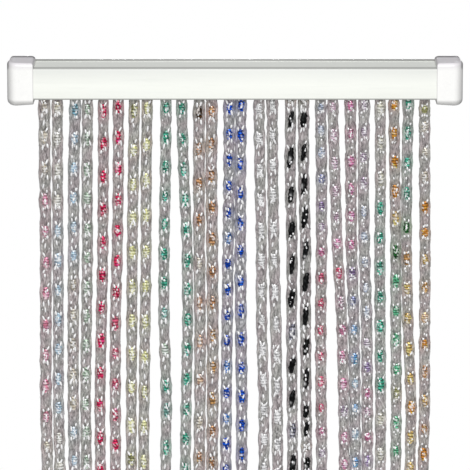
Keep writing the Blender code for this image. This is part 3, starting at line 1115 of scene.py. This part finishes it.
def streak_group() -> bpy.types.NodeTree:
    """Builds the crinkle of drawn film: wandering streaks down a cord, and a mask for painted highlights.

    Returns:
        A group with inputs Across, Along and Wander, and outputs Streak, Light and Height.
    """
    inputs = {"Across": 300.0, "Along": 85.0, "Wander": 0.9}
    tree, given, end = new_group("film_streaks", inputs, ("Streak", "Light", "Height"))
    drawn = tree.stretched(given["Across"], given["Across"], given["Along"])
    broad = tree.noise(drawn, Scale=1.0, Detail=2.0, Distortion=given["Wander"])
    fine = tree.noise(drawn, Scale=2.2, Detail=1.0, Distortion=given["Wander"])
    broad_share, fine_share = 0.6, 0.4
    usual_span, brightest_span = (0.38, 0.62), (0.57, 0.66)
    both = tree.maths(
        "ADD", tree.maths("MULTIPLY", broad, broad_share), tree.maths("MULTIPLY", fine, fine_share)
    )
    streak = tree.spread(both, *usual_span, 0.0, 1.0)
    light = tree.spread(both, *brightest_span, 0.0, 1.0)
    tree.feed(end, {"Streak": streak, "Light": light, "Height": both})
    return tree.tree


def grain_group() -> bpy.types.NodeTree:
    """Builds the skin of moulded and extruded plastic: faint clouding, orange peel and handling marks.

    Returns:
        A group with inputs Drawn and Fine, and outputs Cloud, Marks and Height.
    """
    inputs = {"Drawn": 1.0, "Fine": 900.0}
    tree, given, end = new_group("plastic_grain", inputs, ("Cloud", "Marks", "Height"))
    drawn = tree.stretched(given["Drawn"], 1.0, 1.0)
    cloud_span, mark_span = (0.3, 0.7), (0.52, 0.72)
    cloud = tree.spread(tree.noise(drawn, Scale=26.0, Detail=3.0), *cloud_span, 0.0, 1.0)
    marks = tree.noise(drawn, Scale=160.0, Detail=4.0, Roughness=0.7)
    marks = tree.spread(marks, *mark_span, 0.0, 1.0)
    peel = tree.noise(drawn, Scale=given["Fine"], Detail=1.0)
    tree.feed(end, {"Cloud": cloud, "Marks": marks, "Height": peel})
    return tree.tree


def band_group() -> bpy.types.NodeTree:
    """Builds a soft band that runs along a piece, for painted shade along an edge.

    Returns:
        A group with inputs Side, Depth, Height and a reach of each, and the output Mask. The side is
        how far it lies from the curtain's middle plane, to the left and the right alike.
    """
    labels, endless, solid_share = ("Side", "Depth", "Height"), 10.0, 0.3
    inputs = {label: 0.0 for label in labels} | {label + " reach": endless for label in labels}
    tree, given, end = new_group("soft_band", inputs, ("Mask",))
    x, y, z = tree.node("SeparateXYZ", {0: tree.node("TexCoord").outputs["Object"]}).outputs
    squares = []
    for value, label in zip((tree.maths("ABSOLUTE", x), y, z), labels):
        away = tree.maths("SUBTRACT", value, given[label])
        squares.append(tree.maths("POWER", tree.maths("DIVIDE", away, given[label + " reach"]), 2.0))
    far = tree.maths("ADD", tree.maths("ADD", *squares[:2]), squares[2])
    tree.feed(end, {"Mask": tree.spread(far, solid_share, 1.0, 1.0, 0.0)})
    return tree.tree


def new_material(name: str) -> tuple[bpy.types.Material, NodeTree, bpy.types.Node]:
    """Starts a material.

    Args:
        name: its name.

    Returns:
        The material, its tree and its shader.
    """
    made = bpy.data.materials.new(name)
    made.use_nodes = True
    return made, NodeTree(made.node_tree), made.node_tree.nodes["Principled BSDF"]


@dataclass(frozen=True)
class FilmFinish:
    """Knitted clear film, which looks warm grey where it lies in many layers."""

    name: str = "clear_film"
    attribute: str = "film_tint"
    streak: float = 1.15
    # Pale flecks on the brightest streaks, a painted highlight
    light: float = 0.30
    highlight_fleck_colour: Colour = (0.86, 0.86, 0.85)
    roughness: Span = (0.44, 0.20)
    coat: float = 0.6
    coat_roughness: float = 0.12
    sheen: float = 0.35
    sheen_roughness: float = 0.4
    relief: float = 0.6
    crinkle: float = 0.0012

    def build(self, streaks: bpy.types.NodeTree) -> bpy.types.Material:
        """Builds the material.

        Args:
            streaks: the film_streaks group.

        Returns:
            The material.
        """
        made, tree, shader = new_material(self.name)
        tint = tree.node("Attribute", attribute_name=self.attribute).outputs
        drawn = tree.node("Group", node_tree=streaks).outputs
        amount = tree.maths("MULTIPLY", tree.maths("SUBTRACT", drawn["Streak"], 0.5), tint["Alpha"])
        factor = tree.maths("ADD", tree.maths("MULTIPLY", amount, self.streak), 1.0)
        # Painted highlight: pale flecks where the streaks are brightest
        lit = tree.maths("MULTIPLY", tree.maths("MULTIPLY", drawn["Light"], tint["Alpha"]), self.light)
        colour = tree.mixed(lit, tree.scaled(tint["Color"], factor), (*self.highlight_fleck_colour, 1.0))
        rough = tree.spread(drawn["Streak"], 0.0, 1.0, *self.roughness)
        normal = tree.bump(self.relief, self.crinkle, drawn["Height"])
        tree.feed(shader, {"Base Color": colour, "Roughness": rough, "Normal": normal})
        tree.feed(shader, {"Coat Weight": self.coat, "Coat Roughness": self.coat_roughness})
        tree.feed(shader, {"Sheen Weight": self.sheen, "Sheen Roughness": self.sheen_roughness})
        return made


@dataclass(frozen=True)
class FoilFinish:
    """Coloured foil, glossy, wound crosswise."""

    name: str = "colour_foil"
    attribute: str = "foil_tint"
    across: float = 260.0
    along: float = 900.0
    wander: float = 0.4
    streak: Span = (0.72, 1.22)
    roughness: Span = (0.36, 0.24)
    metallic: float = 0.25
    specular: float = 0.25
    relief: float = 0.4
    crinkle: float = 0.0004

    def build(self, streaks: bpy.types.NodeTree) -> bpy.types.Material:
        """Builds the material.

        Args:
            streaks: the film_streaks group.

        Returns:
            The material.
        """
        made, tree, shader = new_material(self.name)
        tint = tree.node("Attribute", attribute_name=self.attribute).outputs
        inputs = {"Across": self.across, "Along": self.along, "Wander": self.wander}
        drawn = tree.node("Group", inputs, node_tree=streaks).outputs
        colour = tree.scaled(tint["Color"], tree.spread(drawn["Streak"], 0.0, 1.0, *self.streak))
        rough = tree.spread(drawn["Streak"], 0.0, 1.0, *self.roughness)
        normal = tree.bump(self.relief, self.crinkle, drawn["Height"])
        tree.feed(shader, {"Base Color": colour, "Roughness": rough, "Normal": normal})
        tree.feed(shader, {"Metallic": self.metallic, "Specular IOR Level": self.specular})
        return made


@dataclass(frozen=True)
class PaintedShadeBand:
    """A band of painted shade along a piece: its strength, its middle, and its reach on each side of it."""

    strength: float
    side: float = 0.0
    depth: float = 0.0
    height: float = 0.0
    side_reach: float = 10.0
    depth_reach: float = 10.0
    height_reach: float = 10.0

    @property
    def inputs(self) -> dict[str, float]:
        """The soft_band group's inputs, which have the names of these sizes."""
        sizes = {name: value for name, value in vars(self).items() if name != "strength"}
        return {name.capitalize().replace("_", " "): value for name, value in sizes.items()}


@dataclass(frozen=True)
class PlasticFinish:
    """White plastic: a smooth skin with a little clouding, greyer where hands and dust have marked it.

    Between two heights it turns to the upper colour, a painted shade. The roughness spans the clouding's.
    """

    name: str
    colour: Colour
    shaded_upper_colour: Colour
    mark_colour: Colour
    roughness: Span
    heights: Span
    bands: tuple[PaintedShadeBand, ...] = ()
    drawn: float = 1.0
    marks: float = 0.10
    cloud: float = 0.985
    relief: float = 0.06
    peel: float = 0.0002

    def build(self, grain: bpy.types.NodeTree, band: bpy.types.NodeTree) -> bpy.types.Material:
        """Builds the material.

        Args:
            grain: the plastic_grain group.
            band: the soft_band group.

        Returns:
            The material.
        """
        made, tree, shader = new_material(self.name)
        skin = tree.node("Group", {"Drawn": self.drawn}, node_tree=grain).outputs
        height = tree.node("SeparateXYZ", {0: tree.node("TexCoord").outputs["Object"]}).outputs[2]
        lower, upper, mark = ((*linear(c), 1.0) for c in (self.colour, self.shaded_upper_colour, self.mark_colour))
        # Painted shade: the upper part of the piece is greyer
        colour = tree.mixed(tree.spread(height, *self.heights, 0.0, 1.0), lower, upper)
        colour = tree.mixed(tree.maths("MULTIPLY", skin["Marks"], self.marks), colour, mark)
        shade = tree.spread(skin["Cloud"], 0.0, 1.0, self.cloud, 1.0)
        for item in self.bands:
            mask = tree.node("Group", item.inputs, node_tree=band).outputs["Mask"]
            shade = tree.maths("MULTIPLY", shade, tree.spread(mask, 0.0, 1.0, 1.0, 1.0 - item.strength))
        rough = tree.spread(skin["Cloud"], 0.0, 1.0, *self.roughness)
        normal = tree.bump(self.relief, self.peel, skin["Height"])
        tree.feed(shader, {"Base Color": tree.scaled(colour, shade), "Roughness": rough, "Normal": normal})
        return made


RAIL_FINISH = PlasticFinish(
    "rail_white", (0.964, 0.972, 0.944), (0.885, 0.893, 0.872), (0.78, 0.80, 0.78),
    roughness=(0.32, 0.42),
    heights=(-0.002, 0.026),
    bands=(
        # Painted shade along the front's top edge, the back lip and the front's bottom edge
        PaintedShadeBand(0.38, depth=-0.0485, height=0.0325, depth_reach=0.011, height_reach=0.0024),
        PaintedShadeBand(0.80, height=0.0375, depth_reach=0.007, height_reach=0.0062),
        PaintedShadeBand(0.62, depth=-0.052, height=-0.032, depth_reach=0.012, height_reach=0.0032),
    ),
    drawn=0.06,
)
CAP_FINISH = PlasticFinish(
    "cap_white", (0.966, 0.966, 0.955), (0.884, 0.872, 0.884), (0.82, 0.81, 0.84),
    roughness=(0.26, 0.36),
    heights=(0.028, 0.043),
    bands=(
        # Painted shade: top back edge, bottom front edge, outer top corner, the step at the rail, outer
        # side
        PaintedShadeBand(0.72, height=0.0420, depth_reach=0.012, height_reach=0.0055),
        PaintedShadeBand(0.34, depth=-0.054, height=-0.0450, depth_reach=0.040, height_reach=0.0130),
        PaintedShadeBand(0.50, side=0.4510, height=0.0360, side_reach=0.0065, height_reach=0.0130),
        PaintedShadeBand(0.22, side=0.3975, side_reach=0.0022),
        PaintedShadeBand(0.10, side=0.4520, side_reach=0.0150),
    ),
)
HANGER_FINISH = PlasticFinish(
    "hanger_white", (0.90, 0.90, 0.89), (0.88, 0.88, 0.87), (0.72, 0.72, 0.71),
    roughness=(0.30, 0.40),
    heights=(-0.02, 0.02),
)


@dataclass
class RigidPiece:
    """A solid that stays as it is: it is welded and softened at its edges for the light, and dressed."""

    node: str
    edge: float = 0.0005
    weld: float = 0.00001
    soft_angle: float = 35.0
    flat_faces: bool = False

    def dress(self, finish: bpy.types.Material) -> None:
        """Gives the solid its finish.

        Args:
            finish: its material.
        """
        solid = frame["nodes"][self.node]
        mesh = solid.data
        if "custom_normal" in mesh.attributes:
            mesh.attributes.remove(mesh.attributes["custom_normal"])
        mesh.shade_smooth()
        weld = solid.modifiers.new("weld", "WELD")
        weld.merge_threshold = self.weld
        bevel = solid.modifiers.new("edge", "BEVEL")
        bevel.width = self.edge
        bevel.segments = 2
        bevel.limit_method = "ANGLE"
        bevel.angle_limit = math.radians(self.soft_angle)
        split = solid.modifiers.new("split", "EDGE_SPLIT")
        split.split_angle = math.radians(self.soft_angle)
        if self.flat_faces:
            even = solid.modifiers.new("even", "WEIGHTED_NORMAL")
            even.keep_sharp = True
        for place in range(len(mesh.materials)):
            mesh.materials[place] = finish
        logger.info("dressed %s", self.node)


@dataclass
class Hanger:
    """The moulded hanger of a pair: a head on the rail's ledges, a neck through the slot and a bar."""

    name: str
    middle: float
    plane: float
    length: float = 0.052
    head_width: float = 0.032
    neck_width: float = 0.009
    bar_width: float = 0.020
    bar_bottom: float = -0.021
    bar_top: float = -0.015
    head_bottom: float = -0.0112
    head_top: float = -0.0082
    edge: float = 0.0005
    sharp_angle: float = 40.0

    def build(self, finish: bpy.types.Material) -> bpy.types.Object:
        """Builds the hanger.

        Args:
            finish: its material.

        Returns:
            The piece.
        """
        outline = (
            (self.bar_width, self.bar_bottom), (self.bar_width, self.bar_top),
            (self.neck_width, self.bar_top), (self.neck_width, self.head_bottom),
            (self.head_width, self.head_bottom), (self.head_width, self.head_top),
        )
        back = [(self.plane + width / 2, height) for width, height in outline]
        front = [(self.plane - width / 2, height) for width, height in outline]
        left = self.middle - self.length / 2
        shape = bmesh.new()
        section = shape.faces.new([shape.verts.new((left, y, z)) for y, z in back + front[::-1]])
        drawn = bmesh.ops.extrude_face_region(shape, geom=[section])["geom"]
        moved = [item for item in drawn if isinstance(item, bmesh.types.BMVert)]
        bmesh.ops.translate(shape, verts=moved, vec=Vector((self.length, 0.0, 0.0)))
        bmesh.ops.recalc_face_normals(shape, faces=shape.faces)
        bmesh.ops.bevel(
            shape, geom=list(shape.edges), offset=self.edge, segments=2, affect="EDGES", clamp_overlap=True
        )
        mesh = bpy.data.meshes.new(self.name)
        shape.to_mesh(mesh)
        shape.free()
        mesh.shade_smooth()
        mesh.set_sharp_from_angle(angle=math.radians(self.sharp_angle))
        mesh.materials.append(finish)
        return add_object(self.name, mesh)


@dataclass
class CordPair:
    """Two cords on one hanger."""

    number: int
    length: float
    top: float
    plane: float
    first_seed: int = 100

    def build(
        self, film: bpy.types.Material, foil: bpy.types.Material, plastic: bpy.types.Material
    ) -> None:
        """Builds the pair's film, foil and hanger, which stand for its solid.

        Args:
            film: material of the film.
            foil: material of the foil.
            plastic: material of the hanger.
        """
        label = f"{self.number:02d}"
        chance = np.random.default_rng(self.first_seed + self.number)
        film_body, foil_body = Body("film_tint"), Body("foil_tint")
        members = (2 * self.number - 2, 2 * self.number - 1)
        for index in members:
            strand = Strand(CORDS[index], index, self.length, self.top, self.plane)
            sizes = ROUND_LOOPED if index >= ROUND_LOOPED_FROM else USUAL
            cover = Film(strand, sizes, chance)
            cover.add_tube(film_body)
            cover.add_loops(film_body)
            FoilWinding(strand, sizes, chance).add(foil_body)
        middle = MM * sum(CORDS[index].root for index in members) / len(members)
        pieces = (
            (film_body.to_object("film_pair_" + label), film, "clear_film"),
            (foil_body.to_object("foil_pair_" + label), foil, "colour_foil"),
            (Hanger("hanger_" + label, middle, self.plane).build(plastic), plastic, "cap_white"),
        )
        for piece, finish, slot in pieces:
            if not piece.data.materials:
                piece.data.materials.append(finish)
            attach(piece, BODY)
            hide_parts("cord_pair_" + label)
            logger.info("built %s with %d faces", piece.name, len(piece.data.polygons))


@dataclass(frozen=True)
class Sun:
    """A wide soft light. Its tilt is degrees above the level, and its turn degrees right of the front."""

    name: str
    strength: float
    tilt: float
    turn: float
    spread: float

    def add(self) -> None:
        """Adds the light."""
        light = bpy.data.lights.new(self.name, "SUN")
        light.energy = self.strength
        light.angle = math.radians(self.spread)
        made = add_object(self.name, light)
        made.rotation_euler = (math.radians(90 - self.tilt), 0.0, math.radians(self.turn))


@dataclass
class Studio:
    """A white studio with the camera where the picture was taken from."""

    elevation: float = 18.0
    distance: float = 14.0
    frame_width: float = 0.9352
    aim: tuple[float, float, float] = (0.0, -0.026, -0.3209)
    sensor: float = 36.0
    suns: tuple[Sun, ...] = (
        Sun("key", 2.75, 20.0, 0.0, 30.0), Sun("rear", 1.5, -4.0, 180.0, 12.0),
        Sun("overhead", 0.7, 90.0, 0.0, 40.0),
    )
    ambient: float = 0.25
    ambient_colour: Colour = (0.97, 0.965, 1.0)
    floor_height: float = -1.978
    floor_half: float = 1.5
    floor_grey: float = 0.86
    floor_roughness: float = 0.8

    def add_camera(self) -> None:
        """Adds the camera, far off and a little above, with a long lens."""
        lens = bpy.data.cameras.new("camera")
        lens.sensor_width = self.sensor
        lens.lens = self.sensor * self.distance / self.frame_width
        lens.clip_end = 10 * self.distance
        made = add_object("camera", lens)
        rise = math.radians(self.elevation)
        away = Vector((0.0, -math.cos(rise), math.sin(rise))) * self.distance
        made.location = Vector(self.aim) + away
        made.rotation_euler = (math.pi / 2 - rise, 0.0, 0.0)
        bpy.context.scene.camera = made

    def add_world(self) -> None:
        """Makes the world white to look at and softer as a light."""
        world = bpy.data.worlds.new("studio")
        world.use_nodes = True
        world.node_tree.nodes.clear()
        tree = NodeTree(world.node_tree)
        seen = tree.node("Background", {"Color": (1.0, 1.0, 1.0, 1.0), "Strength": 1.0})
        soft = tree.node("Background", {"Color": (*self.ambient_colour, 1.0), "Strength": self.ambient})
        ray = tree.node("LightPath").outputs["Is Camera Ray"]
        both = tree.node("MixShader", {0: ray, 1: soft.outputs[0], 2: seen.outputs[0]})
        tree.node("OutputWorld", {"Surface": both.outputs[0]})
        bpy.context.scene.world = world
        bpy.context.scene.view_settings.view_transform = "Standard"

    def add_floor(self) -> None:
        """Adds a plain pale floor of limited size under the curtain."""
        half = self.floor_half
        corners = [(-half, -half, 0), (half, -half, 0), (half, half, 0), (-half, half, 0)]
        mesh = bpy.data.meshes.new("floor")
        mesh.from_pydata(corners, [], [(0, 1, 2, 3)])
        pale, tree, shader = new_material("floor_pale")
        grey = self.floor_grey
        tree.feed(shader, {"Base Color": (grey, grey, grey, 1.0), "Roughness": self.floor_roughness})
        mesh.materials.append(pale)
        made = add_object("floor", mesh)
        made.location.z = self.floor_height
        made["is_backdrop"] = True

    def build(self) -> None:
        """Builds the whole studio."""
        self.add_camera()
        for sun in self.suns:
            sun.add()
        self.add_world()
        self.add_floor()


def corners_of(box: tuple) -> list[list[float]]:
    """Gives a box's two corners as plain lists."""
    return [[float(value) for value in corner] for corner in box]


def main() -> None:
    """Builds the looks in order and reports each piece."""
    logging.basicConfig(level=logging.INFO, format="%(message)s")
    solid_box = corners_of(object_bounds())
    Studio().build()
    streaks, grain, band = streak_group(), grain_group(), band_group()
    RigidPiece("head_rail").dress(RAIL_FINISH.build(grain, band))
    cap_white = CAP_FINISH.build(grain, band)
    for name in ("end_cap_left", "end_cap_right"):
        RigidPiece(name, flat_faces=True).dress(cap_white)
    film, foil = FilmFinish().build(streaks), FoilFinish().build(streaks)
    hanger_white = HANGER_FINISH.build(grain, band)
    low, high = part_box("head_rail")
    plane = (low.y + high.y) / 2
    length = low.z - solid_box[0][2]
    for number in range(1, len(CORDS) // 2 + 1):
        CordPair(number, length, low.z, plane).build(film, foil, hanger_white)


if __name__ == "__main__":
    main()
